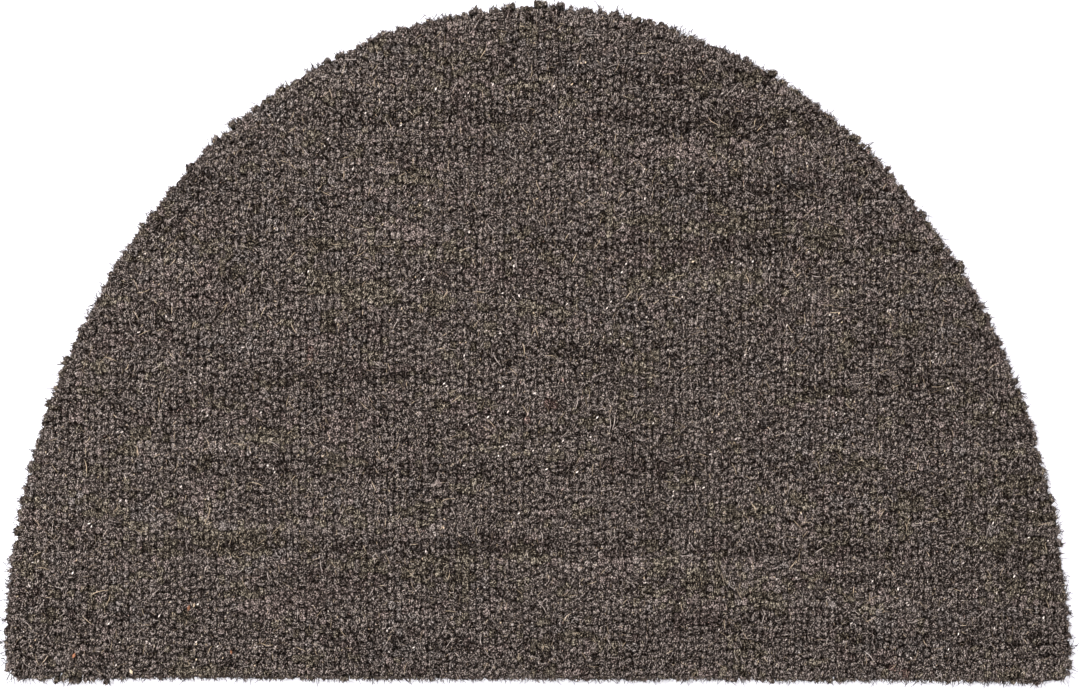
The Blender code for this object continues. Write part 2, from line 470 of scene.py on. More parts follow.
class MatColours(bpy.types.PropertyGroup):
    """Colours of the yarn and the backing."""

    dark: FloatVectorProperty(
        name="Darkest fibre",
        description="Colour of the fibres that took the most dye",
        subtype="COLOR_GAMMA",
        size=3,
        default=(0.060, 0.030, 0.018),
    )
    pale: FloatVectorProperty(
        name="Palest fibre",
        description="Colour of the fibres that took no dye",
        subtype="COLOR_GAMMA",
        size=3,
        default=(0.903, 0.839, 0.807),
    )
    backing: FloatVectorProperty(
        name="Backing",
        description="Colour of the rubbery backing",
        subtype="COLOR_GAMMA",
        size=3,
        default=(0.155, 0.145, 0.140),
    )
    # Painted shade: a fibre's colour darkens towards its root, down in the pile
    root_painted_shade: FloatProperty(
        name="Root shade",
        description="How much of its colour a fibre keeps at its root",
        default=0.12,
        subtype="FACTOR",
    )
    grain: FloatProperty(
        name="Grain",
        description="How far the fibres packed in one tuft differ in tone",
        default=0.90,
        subtype="FACTOR",
    )
    middle_tone: FloatProperty(
        name="Middle tone",
        description="Where the usual fibre lies between the darkest (0) and the palest (1)",
        default=0.425,
        subtype="FACTOR",
    )


class MatStage(bpy.types.PropertyGroup):
    """The camera straight above the mat, the floor and the light."""

    lens: FloatProperty(
        name="Lens",
        description="Focal length of the camera, in millimetres",
        default=85.0,
        unit="CAMERA",
    )
    width: FloatProperty(
        name="Picture width",
        description="Width that the picture takes in, at the height where the rim leans out furthest",
        default=0.812,
        unit="LENGTH",
    )
    aside: FloatVectorProperty(
        name="Aside",
        description="Where the camera looks, from the middle of the mat",
        size=2,
        default=(0.0015, -0.0015),
        unit="LENGTH",
    )
    roll: FloatProperty(
        name="Roll",
        description="How far the camera is turned about its own line",
        default=math.radians(0.2),
        unit="ROTATION",
    )
    key: FloatProperty(
        name="Main light",
        description="Power of the large soft lamp, in watts",
        default=185.0,
        unit="POWER",
    )
    sky: FloatProperty(
        name="Room light",
        description="Strength of the even light from all round",
        default=0.52,
    )
    floor_glow: FloatProperty(
        name="Floor glow",
        description="Strength of the light that the floor gives off, as a light table does",
        default=0.80,
    )


class Shape(NamedTuple):
    """Closed bodies in one mesh: points, triangles, places on the palette and smooth faces."""

    points: np.ndarray
    faces: np.ndarray
    places: np.ndarray
    smooth: np.ndarray


class Tufts(NamedTuple):
    """Tufts seen from above: middles, half sizes, steps to their neighbours, tops, leans of the
    top, tones and tints.

    The tint is a pair: a tint's number, and the share of the tuft's fibres that have it.
    """

    middle: np.ndarray
    half: np.ndarray
    near: np.ndarray
    top: np.ndarray
    lean: np.ndarray
    tone: np.ndarray
    tint: np.ndarray
    tinted: np.ndarray

    def some(self, which):
        """The tufts with these numbers."""
        return Tufts(*(values[which] for values in self))

    def reach(self, arrows):
        """How far each tuft goes in these level directions: halfway to its neighbour there.

        Halfway to a neighbour at n, along the direction a, is |n|^2 / (2 n.a).
        """
        ahead = np.einsum("tnk,tak->tan", self.near, arrows)
        halfway = (self.near**2).sum(-1)[:, None] / (2 * np.maximum(ahead, NEARLY_NOTHING))
        return np.minimum(halfway.min(-1), WIDEST)

    def tint_of(self, shape, random):
        """A tint for each fibre: its tuft's own for the tinted share, and else any by its share."""
        loose = random.choice(len(TINTS), shape, p=[tint.share for tint in TINTS])
        return np.where(random.uniform(0, 1, shape) < self.tinted[:, None], self.tint[:, None], loose)


def unit(v):
    """Each row divided by its own length."""
    return v / np.linalg.norm(v, axis=-1, keepdims=True)


def arrows_round(angle):
    """The direction at each angle from +X, on the flat."""
    return np.stack([np.cos(angle), np.sin(angle)], -1)


def flat_arrow(angle):
    """The level direction at each angle from +X, with a height of 0."""
    return np.stack([np.cos(angle), np.sin(angle), np.zeros_like(angle)], -1)


def bodies(points, pattern, places, smooth):
    """Bodies of one kind as a shape: a row of points each, all joined by the same triangles."""
    count = len(points)
    points, places = points.reshape(count, -1, 3), places.reshape(count, -1, 2)
    starts = points.shape[1] * np.arange(count)[:, None, None]
    faces = (np.asarray(pattern)[None] + starts).reshape(-1, 3)
    return Shape(points.reshape(-1, 3), faces, places.reshape(-1, 2), np.full(len(faces), smooth))


def joined(*shapes):
    """Several shapes as one, with each shape's triangles moved on past the points before it."""
    starts = np.cumsum([0] + [len(shape.points) for shape in shapes[:-1]])
    return Shape(
        np.concatenate([shape.points for shape in shapes]),
        np.concatenate([shape.faces + start for shape, start in zip(shapes, starts)]),
        np.concatenate([shape.places for shape in shapes]),
        np.concatenate([shape.smooth for shape in shapes]),
    )


def tube_pattern(sides, rings):
    """The triangles of a tube: two for each side between two rings, and a fan over each end."""
    k = np.arange(sides)
    after = (k + 1) % sides
    walls = []
    for start in sides * np.arange(rings - 1):
        walls.append(np.stack([k + start, after + start, after + start + sides], 1))
        walls.append(np.stack([k + start, after + start + sides, k + start + sides], 1))
    fan = np.stack([np.zeros(sides - 2, int), k[2:], k[1:-1]], 1)
    last = sides * (rings - 1)
    return np.concatenate([*walls, fan, fan[:, [0, 2, 1]] + last])


def palette_place(tone, tint, along):
    """Where a point's colour lies on the palette.

    Across the palette runs the tone. Up it lie the tints, one band each, and within a band the
    share of the way from the fibre's root to its tip.
    """
    inside = PALETTE_MARGIN + (1 - 2 * PALETTE_MARGIN) * along
    up = (tint + inside) / len(TINTS)
    tone = np.clip(tone, 2 * PALETTE_STEP, 1 - 2 * PALETTE_STEP)
    return np.stack(np.broadcast_arrays(tone, up), -1)


def make_mesh(name, shape, *materials, slots=None):
    """A mesh object from a shape, with the palette as its map."""
    mesh = bpy.data.meshes.new(name)
    mesh.vertices.add(len(shape.points))
    mesh.vertices.foreach_set("co", shape.points.astype(np.float32).ravel())
    mesh.loops.add(shape.faces.size)
    mesh.loops.foreach_set("vertex_index", shape.faces.astype(np.int32).ravel())
    mesh.polygons.add(len(shape.faces))
    mesh.polygons.foreach_set("loop_start", np.arange(0, shape.faces.size, 3, dtype=np.int32))
    mesh.polygons.foreach_set("use_smooth", shape.smooth)
    if slots is not None:
        mesh.polygons.foreach_set("material_index", slots.astype(np.int32))
    if len(shape.places):
        layer = mesh.uv_layers.new(name=PALETTE)
        places = shape.places[shape.faces.ravel()]
        layer.uv.foreach_set("vector", places.astype(np.float32).ravel())
    mesh.update(calc_edges=True)
    for material in materials:
        mesh.materials.append(material)
    piece = bpy.data.objects.new(name, mesh)
    bpy.context.scene.collection.objects.link(piece)
    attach(piece, BODY)
    return piece


def node_points():
    """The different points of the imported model."""
    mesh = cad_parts[NODE].data
    points = np.empty(len(mesh.vertices) * 3, np.float32)
    mesh.vertices.foreach_get("co", points)
    return np.unique(points.reshape(-1, 3), axis=0).astype(float)


def between(points, zone):
    """The points whose height is in a zone, given as shares of the whole height."""
    share = points[:, 2] / points[:, 2].max()
    return points[(share > zone[0]) & (share < zone[1])]


class Ring:
    """A closed line round the mat as a radius for each direction: r = f(angle) from the pivot.

    The mat has no hollow side, so each direction from the pivot meets the line once.
    """

    def __init__(self, points):
        away = points[:, :2] - PIVOT
        angle = np.arctan2(away[:, 1], away[:, 0])
        order = np.argsort(angle)
        self.angle, self.radius = angle[order], np.hypot(*away.T)[order]
        self.corners = points[order, :2]

    def reach(self, flat):
        """The line's distance from the pivot in the direction of each point."""
        away = flat - PIVOT
        angle = np.arctan2(away[..., 1], away[..., 0])
        return np.interp(angle, self.angle, self.radius, period=FULL_TURN)


class Outline:
    """The mat's cut edge and how far the pile leans out past it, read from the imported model."""

    def __init__(self):
        points = node_points()
        self.cut = Ring(between(points, CUT_ZONE))
        self.belly = Ring(between(points, BELLY_ZONE))
        self.tops = between(points, TOP_ZONE)
        loop = self.cut.corners
        self.loop = np.concatenate([loop, loop[:1]])
        self.run = np.append(0, np.cumsum(np.linalg.norm(np.diff(self.loop, axis=0), axis=1)))
        self.length = self.run[-1]
        self.low, self.high = loop.min(0), loop.max(0)

    def at(self, along):
        """The points of the cut at these distances round it, anticlockwise."""
        along = np.mod(along, self.length)
        return np.stack([np.interp(along, self.run, self.loop[:, k]) for k in (0, 1)], -1)

    def outwards(self, along, span=4 * MM):
        """The level directions at right angles to the cut, away from the mat."""
        ahead = unit(self.at(along + span / 2) - self.at(along - span / 2))
        return np.stack([ahead[..., 1], -ahead[..., 0]], -1)

    def lean(self, flat, outwards):
        """How far the pile stands out past the cut, measured at right angles to the cut."""
        radial = unit(flat - PIVOT)
        reach = self.belly.reach(flat) - self.cut.reach(flat)
        return np.clip(reach * np.abs((radial * outwards).sum(-1)), 0, None)

    def room(self, flat, least_size=0.01, least_steep=0.1):
        """The distance to the cut, inwards: to the straight edge or to the half oval.

        The oval's is the oval's own formula divided by how steeply that formula changes there,
        with both kept from nothing at the oval's middle.
        """
        half_width = (self.high[0] - self.low[0]) / 2
        depth = self.high[1] - self.low[1]
        x = flat[:, 0] - (self.high[0] + self.low[0]) / 2
        y = flat[:, 1] - self.low[1]
        size = np.hypot(x / half_width, y / depth)
        steep = np.hypot(x / half_width**2, y / depth**2) / np.maximum(size, least_size)
        return np.minimum(y, (1 - size) / np.maximum(steep, least_steep))

    def top(self, flat, blur=3 * MM, parts=12):
        """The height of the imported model's top: points weigh by 1 / (distance^2 + blur^2)^2."""
        height = np.empty(len(flat))
        for part in np.array_split(np.arange(len(flat)), parts):
            away = flat[part, None, :] - self.tops[None, :, :2]
            weight = 1 / ((away**2).sum(-1) + blur**2) ** 2
            height[part] = (weight * self.tops[:, 2]).sum(1) / weight.sum(1)
        return height


def waver(flat, length, breadth, random):
    """Soft unevenness: random values at the knots of a grid, eased from knot to knot.

    The easing between two knots is 3 s^2 - 2 s^3. The grid's cells are length by breadth.
    """
    low = flat.min(0) - (length, breadth)
    across = (flat - low) / (length, breadth)
    knots = random.standard_normal(tuple(across.max(0).astype(int) + 3))
    cell = across.astype(int)
    s = across - cell
    s = s * s * (3 - 2 * s)
    i, j = cell.T
    near = knots[i, j] * (1 - s[:, 0]) + knots[i + 1, j] * s[:, 0]
    far = knots[i, j + 1] * (1 - s[:, 0]) + knots[i + 1, j + 1] * s[:, 0]
    return near * (1 - s[:, 1]) + far * s[:, 1]


def tone_over(flat, random):
    """How much paler or darker the pile is at these places than on the whole.

    A streak is its tone and strength times exp(-a^2 - b^4), with a the distance across it in half
    breadths and b the distance along it in half lengths.
    """
    tone = sum(w.tone * waver(flat, w.length, w.breadth, random) for w in WAVERS)
    x, y = flat.T
    for s in STREAKS:
        across = (y - s.y - s.slant * (x - s.x)) / (s.breadth / 2)
        beside = (x - s.x) / (s.length / 2)
        strength = DARK_STRENGTH if s.tone < 0 else PALE_STRENGTH
        tone = tone + strength * s.tone * np.exp(-(across**2) - beside**4)
    return tone


def tint_over(flat, random):
    """Each tuft's tint and the share of its fibres that have it.

    The share is (unevenness - rareness + edge) / rise, never below 0 or above the most tinted. A
    tuft takes the tint that has the greatest share there.
    """
    tint, tinted = np.zeros(len(flat), int), np.zeros(len(flat))
    for number, kind in enumerate(TINTS):
        if 0 < kind.rareness < math.inf:
            strength = 0.7 * waver(flat, 50 * MM, 12 * MM, random)
            strength += 0.7 * waver(flat, 16 * MM, 10 * MM, random)
            strength += 0.35 * random.standard_normal(len(flat))
            share = np.clip((strength - kind.rareness + TINT_EDGE) / TINT_RISE, 0, MOST_TINTED)
            tint[share > tinted] = number
            tinted = np.maximum(tinted, share)
    for patch in PATCHES:
        near = np.hypot(flat[:, 0] - patch.x, flat[:, 1] - patch.y) < patch.radius
        tint[near], tinted[near] = TINT_NUMBER[patch.tint], PATCH_TINTED
    return tint, tinted


def tuft_columns(outline, sizes, random):
    """Middles and lengths of tufts in straight columns, each column laid end to end.

    The lengths are drawn evenly between the shortest and the longest, so rows don't line up.
    """
    low, high = outline.low, outline.high
    columns = np.arange(low[0] + sizes.column_pitch / 2, high[0], sizes.column_pitch)
    rows = int((high[1] - low[1]) / sizes.shortest) + 2
    lengths = random.uniform(sizes.shortest, sizes.longest, (len(columns), rows))
    starts = np.cumsum(lengths, 1) - lengths - random.uniform(0, sizes.longest, (len(columns), 1))
    y = low[1] + starts + lengths / 2
    x = np.broadcast_to(columns[:, None], y.shape)
    return np.stack([x.ravel(), y.ravel()], 1), lengths.ravel()


def neighbours(flat, number=12, parts=24):
    """The steps from each point to the others that are nearest to it."""
    steps = np.empty((len(flat), number, 2))
    for part in np.array_split(np.arange(len(flat)), parts):
        away = flat[None] - flat[part, None]
        squared = (away**2).sum(-1)
        squared[np.arange(len(part)), part] = np.inf
        nearest = np.argpartition(squared, number, axis=1)[:, :number]
        steps[part] = np.take_along_axis(away, nearest[..., None], 1)
    return steps


def pile_tufts(outline, sizes, rim, colours, random):
    """The upright tufts inside the rim, with a last row that follows the cut.

    Those near the cut lean towards it by a share of the rim's lean that falls off with the
    distance as exp(-distance / fall).
    """
    middle, length = tuft_columns(outline, sizes, random)
    kept = outline.room(middle) > rim.room + COLUMNS_START
    row = np.arange(0, outline.length, sizes.column_pitch)
    last = outline.at(row) - outline.outwards(row) * (rim.room + LAST_ROW)
    middle = np.concatenate([middle[kept], last])
    length = np.append(length[kept], np.full(len(last), sizes.column_pitch))
    room = outline.room(middle)
    count = len(middle)
    middle = middle + random.normal(0, sizes.stray, (count, 2))
    half = np.stack([np.full(count, sizes.column_pitch * HALF_WIDTH), length * HALF_LENGTH], 1)
    half *= random.uniform(0.95, 1.07, (count, 2))
    outwards = unit(middle - PIVOT)
    share = np.exp(-(room - rim.room) / LEAN_FALL)
    lean = outwards * (outline.lean(middle, outwards) * LEAN_SHARE * share)[:, None]
    lean += random.normal(0, LEAN_NOISE, (count, 2))
    top = outline.top(middle) + random.normal(0, TOP_NOISE, count)
    top -= RIM_DROP * share
    tone = colours.middle_tone + tone_over(middle, random) + random.normal(0, TUFT_TONE, count)
    near = neighbours(middle + lean)
    return Tufts(middle, half, near, top, lean, tone, *tint_over(middle, random))


def knobs(tufts, foot, random):
    """The solid heart of each tuft: a bundle with a rounded top, pointed at its foot.

    A ring of its points is the middle plus, in each direction, the tuft's reach there times a
    girth. The rings are the brow, where it meets its neighbours, and the shoulder.
    """
    sides, count = KNOB_SIDES, len(tufts.top)
    turn = FULL_TURN * np.arange(sides) / sides + random.uniform(0, FULL_TURN, (count, 1))
    arrow = arrows_round(turn)
    round_it = arrow * tufts.reach(arrow)[..., None]
    points = np.empty((count, 2 * sides + 2, 3))
    points[:, 0, :2] = tufts.middle
    points[:, 0, 2] = foot
    for ring, (girth, drop) in enumerate([(BROW_GIRTH, BROW_DROP), (SHOULDER_GIRTH, SHOULDER_DROP)]):
        which = slice(1 + ring * sides, 1 + (ring + 1) * sides)
        uneven = girth * random.uniform(1 - KNOB_UNEVEN, 1 + KNOB_UNEVEN, (count, sides, 1))
        points[:, which, :2] = (tufts.middle + tufts.lean)[:, None] + round_it * uneven
        points[:, which, 2] = tufts.top[:, None] - drop * random.uniform(0.8, 1.2, (count, sides))
    points[:, -1, :2] = tufts.middle + tufts.lean
    points[:, -1, 2] = tufts.top - PEAK_DROP
    k = np.arange(sides)
    after = (k + 1) % sides
    brow, shoulder, peak = k + 1, k + 1 + sides, np.full(sides, 2 * sides + 1)
    pattern = np.concatenate([
        np.stack([0 * k, after + 1, brow], 1),
        np.stack([brow, after + 1, after + 1 + sides], 1),
        np.stack([brow, after + 1 + sides, shoulder], 1),
        np.stack([shoulder, after + 1 + sides, peak], 1),
    ])
    way = random.normal(0, GRAIN_TURN, count)
    turned = np.array([[np.cos(way), -np.sin(way)], [np.sin(way), np.cos(way)]])
    aside = np.einsum("jit,tkj->tki", turned, points[:, :, :2] - points[:, -1:, :2])
    aside *= GRAIN_PER_METRE
    along = KNOB_PLACE + random.uniform(-0.04, 0.04, (count, 1)) + aside[..., 1] * len(TINTS)
    # The foot lies at the root of the band, in the painted root shade
    along[:, 0] = 0
    tint = np.where(tufts.tinted > random.uniform(0.1, MOST_TINTED, count), tufts.tint, 0)
    tone = tufts.tone[:, None] + KNOB_TONE + aside[..., 0]
    # Painted shade: the brow ring, down in the crack between neighbouring tufts, is made darker
    tone[:, 1:1 + sides] -= BROW_PAINTED_SHADE
    return bodies(points, pattern, palette_place(tone, tint[:, None], along), True)


def crown_spots(tufts, number, random):
    """Spots spread evenly over each tuft's top, in rings that never line up.

    Spot k of n lies at radius sqrt((k + 1/2) / n) and at k golden turns.
    """
    count = len(tufts.top)
    k = np.arange(number)
    radius = np.sqrt((k + 0.5) / number) + random.uniform(-0.09, 0.09, (count, number))
    arrow = arrows_round(GOLDEN_TURN * k + random.uniform(0, FULL_TURN, (count, 1)))
    reach = SPOT_SPREAD * radius * tufts.reach(arrow)
    spots = np.empty((count, number, 3))
    spots[..., :2] = (tufts.middle + tufts.lean)[:, None] + arrow * reach[..., None]
    spots[..., 2] = tufts.top[:, None] - SPOT_DROP * radius**2
    return spots, radius


def slivers(root, tip, width, tone, tint, random):
    """Straight fibres: an edge across each one's root and another, a quarter turn on, at its tip."""
    root, tip = root.reshape(-1, 3), tip.reshape(-1, 3)
    tone, tint = tone.ravel(), tint.ravel()
    count = len(root)
    axis = unit(tip - root)
    side = unit(np.cross(axis, unit(random.standard_normal((count, 3)))))
    other = np.cross(axis, side)
    wide = np.broadcast_to(np.ravel(width) / 2, count)[:, None]
    points = np.stack([root - side * wide, root + side * wide, tip - other * wide, tip + other * wide], 1)
    low, high = FIBRE_PLACES
    # Painted shade darkens each fibre's root end, and one edge gets painted light, the other painted
    # shade
    places = np.stack([
        palette_place(tone - FIBRE_ROOT_PAINTED_SHADE - FIBRE_EDGE_LIGHT_AND_SHADE, tint, low),
        palette_place(tone - FIBRE_ROOT_PAINTED_SHADE + FIBRE_EDGE_LIGHT_AND_SHADE, tint, low),
        palette_place(tone - FIBRE_EDGE_LIGHT_AND_SHADE, tint, high),
        palette_place(tone + FIBRE_EDGE_LIGHT_AND_SHADE, tint, high),
    ], 1)
    return bodies(points, [(0, 1, 2), (1, 0, 3), (0, 2, 3), (1, 3, 2)], places, False)


def brushed_angle(shape, random):
    """Level directions that favour +Y and -Y, the way the pile was brushed."""
    side = random.choice([-1.0, 1.0], shape) * math.pi / 2
    return side + random.normal(0, BRUSH_STRAY, shape)


def strokes(tufts, number, width, random):
    """Fibres that lie over on top of the tufts: root in the tuft, tip beyond it, nearly level."""
    spots, radius = crown_spots(tufts, number, random)
    shape = spots.shape[:2]
    spots[..., 2] += random.uniform(*STROKE_HEIGHTS, shape) * MM
    rise = random.uniform(-0.10, 0.55, shape)
    level = flat_arrow(brushed_angle(shape, random)) * np.cos(rise)[..., None]
    length = random.uniform(*STROKE_LENGTHS, shape) * MM
    reach = (level + UP * np.sin(rise)[..., None]) * length[..., None]
    tone = tufts.tone[:, None] + STROKE_TONE + random.normal(0, STROKE_DIFFER, shape)
    # Painted shade at the tuft's side and painted light at its middle
    tone -= CROWN_PAINTED_SHADE * (radius**2 - 0.5)
    tint = tufts.tint_of(shape, random)
    wide = width * random.lognormal(0, 0.25, shape)
    return slivers(spots - 0.35 * reach, spots + 0.65 * reach, wide, tone, tint, random)


def rim_tufts(outline, rim, colours, random):
    """The ring of tufts round the cut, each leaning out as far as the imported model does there.

    To that come a random part, a soft unevenness, and the further lean of each combed side, times
    how squarely the cut faces its way. Near the ends of the straight edge it is less, by
    exp(-(height up the mat / depth)^2).
    """
    count = int(outline.length / rim.pitch)
    stray = random.uniform(-LOCK_STRAY, LOCK_STRAY, count)
    along = (np.arange(count) + stray) * outline.length / count
    cut, outwards = outline.at(along), outline.outwards(along)
    half = random.uniform(2.1, 2.8, (count, 2)) * MM
    foot = cut - outwards * LOCK_FOOT
    reach = outline.lean(cut, outwards) + random.normal(0.8 * MM, 0.5 * MM, count)
    reach += 0.6 * MM * waver(cut, 14 * MM, 14 * MM, random)
    for side in COMBED:
        reach += side.further * np.clip(outwards @ (side.x, side.y) - side.beyond, 0, 1)
    up_the_mat = (cut[:, 1] - outline.low[1]) / CORNER_DEPTH
    reach -= CORNER_LESS * np.abs(outwards[:, 0]) * np.exp(-(up_the_mat**2))
    shift = outwards * (np.clip(reach, 0, None) + LOCK_FOOT - 0.9 * half[:, 0])[:, None]
    top = outline.top(foot) - random.uniform(0.2, 1.4, count) * MM
    tone = colours.middle_tone + RIM_TONE + tone_over(foot, random) + random.normal(0, 0.02, count)
    # A tuft here reaches as far as its half sizes, as if twelve neighbours stood round it
    near = 2 * half[:, None] * arrows_round(FULL_TURN * np.arange(12) / 12)
    return Tufts(foot, half, near, top, shift, tone, *tint_over(foot, random)), outwards


def lock_line(tufts, height):
    """The middle of a leaning tuft at a height: it bows out as sin(90 degrees * height / top)."""
    share = np.sin(np.clip(height / tufts.top[:, None], 0, 1) * math.pi / 2)
    flat = tufts.middle[:, None] + tufts.lean[:, None] * share[..., None]
    return np.concatenate([flat, height[..., None]], -1)


def lock_cores(tufts, outwards, low, random):
    """The solid heart of each leaning tuft: rings round its bowed line, closed at both ends.

    A ring is (half size cos t, half size sin t) times its girth. On the palette the heart is
    unrolled: round it runs the angle times the lock's radius, and up it its height.
    """
    count, levels = len(tufts.top), len(LOCK_HEIGHTS)
    height = low + (tufts.top[:, None] - 0.5 * MM - low) * LOCK_HEIGHTS
    line = lock_line(tufts, height)
    inwards = np.arctan2(-outwards[:, 1], -outwards[:, 0])[:, None]
    unrolled = FULL_TURN * np.arange(LOCK_SIDES) / LOCK_SIDES
    oval = flat_arrow(unrolled + inwards)
    oval[..., :2] *= tufts.half[:, None, :]
    uneven = random.uniform(0.9, 1.08, (count, levels, LOCK_SIDES, 1))
    points = line[:, :, None] + oval[:, None] * LOCK_GIRTHS[:, None, None] * uneven
    # Up the band runs the height, so the lower part of a leaning tuft takes the painted root shade
    down = (tufts.top[:, None] - height) * GRAIN_PER_METRE * len(TINTS)
    aside = unrolled * LOCK_RADIUS * GRAIN_PER_METRE
    tone = tufts.tone[:, None, None] + KNOB_TONE + aside
    places = palette_place(tone, tufts.tint[:, None, None], (LOCK_PLACE - down)[:, :, None])
    return bodies(points, tube_pattern(LOCK_SIDES, levels), places, True)


def skirt(tufts, outwards, low, number, width, random):
    """Fibres down the outer half of each leaning tuft, from inside it to past its side.

    They start at any height, and their tips lie up to 4 mm higher than their roots.
    """
    shape = (len(tufts.top), number)
    outer = np.arctan2(outwards[:, 1], outwards[:, 0])[:, None]
    arrow = flat_arrow(outer + random.normal(0, 0.9, shape))
    arrow[..., :2] *= tufts.half[:, None, :]
    start = low + (tufts.top[:, None] - low) * random.uniform(0, 0.9, shape)
    rise = random.uniform(-0.5, 4.0, shape) * MM
    stop = np.minimum(start + rise, tufts.top[:, None] - random.uniform(0, 1.2, shape) * MM)
    root = lock_line(tufts, start) + arrow * random.uniform(0.4, 0.8, shape)[..., None]
    splay = random.uniform(0.9, 1.7, shape)[..., None]
    tip = lock_line(tufts, stop) + arrow * splay
    tip += random.normal(0, 0.6 * MM, shape + (3,)) * (1, 1, 0.3)
    tone = tufts.tone[:, None] + random.normal(0.0, 0.06, shape)
    # Painted shade: fibres that end lower down the side are darker
    tone -= 0.12 * (1 - stop / tufts.top[:, None])
    return slivers(root, tip, width, tone, tufts.tint_of(shape, random), random)


def hairs(start, heading, length, bend, radius, tone, tint, random, segments=6):
    """Curved hairs as closed three-sided tubes.

    A hair's line is start + heading * length * s + bend * length * s^2, for s from 0 to 1. Its
    radius tapers to a third at both ends, as 0.34 + 0.66 sin(180 degrees * s). On the palette it
    covers a spot just large enough to keep the corners of its faces apart.
    """
    count, sides = len(start), 3
    s = np.linspace(0, 1, segments + 1)
    long = length[:, None, None]
    line = start[:, None] + long * (heading[:, None] * s[:, None] + bend[:, None] * s[:, None] ** 2)
    tangent = unit(heading[:, None] + 2 * bend[:, None] * s[:, None])
    e1 = unit(np.cross(tangent, unit(random.standard_normal((count, 1, 3)))))
    e2 = np.cross(tangent, e1)
    thick = (radius[:, None] * (0.34 + 0.66 * np.sin(math.pi * s)))[..., None]
    turns = FULL_TURN * np.arange(sides) / sides
    points = np.stack([line + thick * (math.cos(t) * e1 + math.sin(t) * e2) for t in turns], 2)
    tone = tone[:, None, None] + PALETTE_STEP * np.cos(turns)
    along = (HAIR_PLACE + 0.03 * s)[:, None] + 0.01 * np.sin(turns)
    places = palette_place(tone, tint[:, None, None], along)
    return bodies(points, tube_pattern(sides, segments + 1), places, True)


def chips(middle, axis, length, width, tone, tint):
    """Small bits of husk: six-cornered, pointed at both ends of their axis."""
    side = unit(np.cross(axis, UP))
    other = np.cross(axis, side)
    long, wide = length[:, None], width[:, None]
    points = np.stack([
        middle - axis * long / 2,
        middle + side * wide / 2,
        middle + other * wide / 3,
        middle - side * wide / 2,
        middle - other * wide / 3,
        middle + axis * long / 2,
    ], 1)
    pattern = [(0, 2, 1), (0, 3, 2), (0, 4, 3), (0, 1, 4), (5, 1, 2), (5, 2, 3), (5, 3, 4), (5, 4, 1)]
    steps = np.array([(0, 0), (1, 1), (0, 2), (-1, 1), (0, 1.5), (0, 3)])
    tone = tone[:, None] + PALETTE_STEP * steps[:, 0]
    places = palette_place(tone, tint[:, None], CHIP_PLACE + 0.02 * steps[:, 1])
    return bodies(points, pattern, places, False)


def matting_rings(outline, backing, bed, count=480):
    """The sheet's side and faces as rings from the middle of its underside to that of its top.

    A ring is the cut moved inwards, and further in it is the cut drawn towards the pivot.
    """
    along = np.arange(count) * outline.length / count
    cut, outwards = outline.at(along), outline.outwards(along)
    inner = cut - outwards * 3.4 * MM
    bevel = 0.3 * MM

    def ring(flat, height):
        return np.column_stack([flat, np.full(count, height)])

    shrunk = [PIVOT + (inner - PIVOT) * share for share in (0.25, 0.5, 0.75, 0.97)]
    under = [ring(flat, 0) for flat in shrunk] + [ring(cut - outwards * bevel, 0)]
    edge = [ring(cut, bevel), ring(cut, backing - bevel), ring(cut - outwards * 0.4 * MM, backing)]
    wall = [ring(cut - outwards * 2.6 * MM, backing + 0.5 * MM), ring(inner, bed - 1.5 * MM)]
    top = [ring(flat, bed) for flat in reversed(shrunk)]
    return np.stack(under + edge + wall + top), len(under) + len(edge)


def closed_rings(rings):
    """Points and triangles over rings of points, with one more point to close each end.

    With them comes each triangle's level: the number of the ring that it starts from.
    """
    levels, count, _ = rings.shape
    points = np.concatenate([rings.reshape(-1, 3), [rings[0].mean(0), rings[-1].mean(0)]])
    k = np.arange(count)
    after = (k + 1) % count
    start = count * np.arange(levels - 1)[:, None]
    walls = np.concatenate([
        np.stack([k + start, after + start, after + start + count], -1).reshape(-1, 3),
        np.stack([k + start, after + start + count, k + start + count], -1).reshape(-1, 3),
    ])
    first = np.stack([np.full(count, levels * count), after, k], 1)
    last = np.stack([np.full(count, levels * count + 1), k, after], 1)
    last[:, 1:] += count * (levels - 1)
    wall_level = np.tile(np.repeat(np.arange(levels - 1), count), 2)
    level = np.concatenate([wall_level, np.zeros(count, int), np.full(count, levels)])
    return points, np.concatenate([walls, first, last]), level


def srgb_to_linear(c):
    """The light that a screen colour stands for: ((c + 0.055) / 1.055) ^ 2.4, or c / 12.92."""
    c = np.asarray(c, float)
    return np.where(c > 0.04045, ((c + 0.055) / 1.055) ** 2.4, c / 12.92)


def fresh_material(name, roughness, specular):
    """An empty material with one Principled shader."""
    material = bpy.data.materials.new(name)
    material.use_nodes = True
    shader = material.node_tree.nodes["Principled BSDF"]
    shader.inputs["Roughness"].default_value = roughness
    shader.inputs["Specular IOR Level"].default_value = specular
    shader.inputs["Metallic"].default_value = 0.0
    return material, material.node_tree, shader


def add_node(tree, kind, **settings):
    """A new node of this kind, with these settings."""
    node = tree.nodes.new(kind)
    for name, value in settings.items():
        setattr(node, name, value)
    return node


def add_ramp(tree, factor, stops, interpolation="LINEAR"):
    """A colour ramp with these (position, linear colour) stops."""
    node = add_node(tree, "ShaderNodeValToRGB")
    ramp = node.color_ramp
    ramp.interpolation = interpolation
    while len(ramp.elements) < len(stops):
        ramp.elements.new(1.0)
    for element, (position, colour) in zip(ramp.elements, stops):
        element.position = position
        element.color = (*(float(c) for c in colour), 1.0)
    tree.links.new(factor, node.inputs["Fac"])
    return node.outputs["Color"]


def add_math(tree, operation, a, b):
    """One step of arithmetic on two numbers, each a value or another node's socket."""
    node = add_node(tree, "ShaderNodeMath", operation=operation)
    for socket, value in zip(node.inputs, (a, b)):
        if isinstance(value, bpy.types.NodeSocket):
            tree.links.new(value, socket)
        else:
            socket.default_value = value
    return node.outputs["Value"]


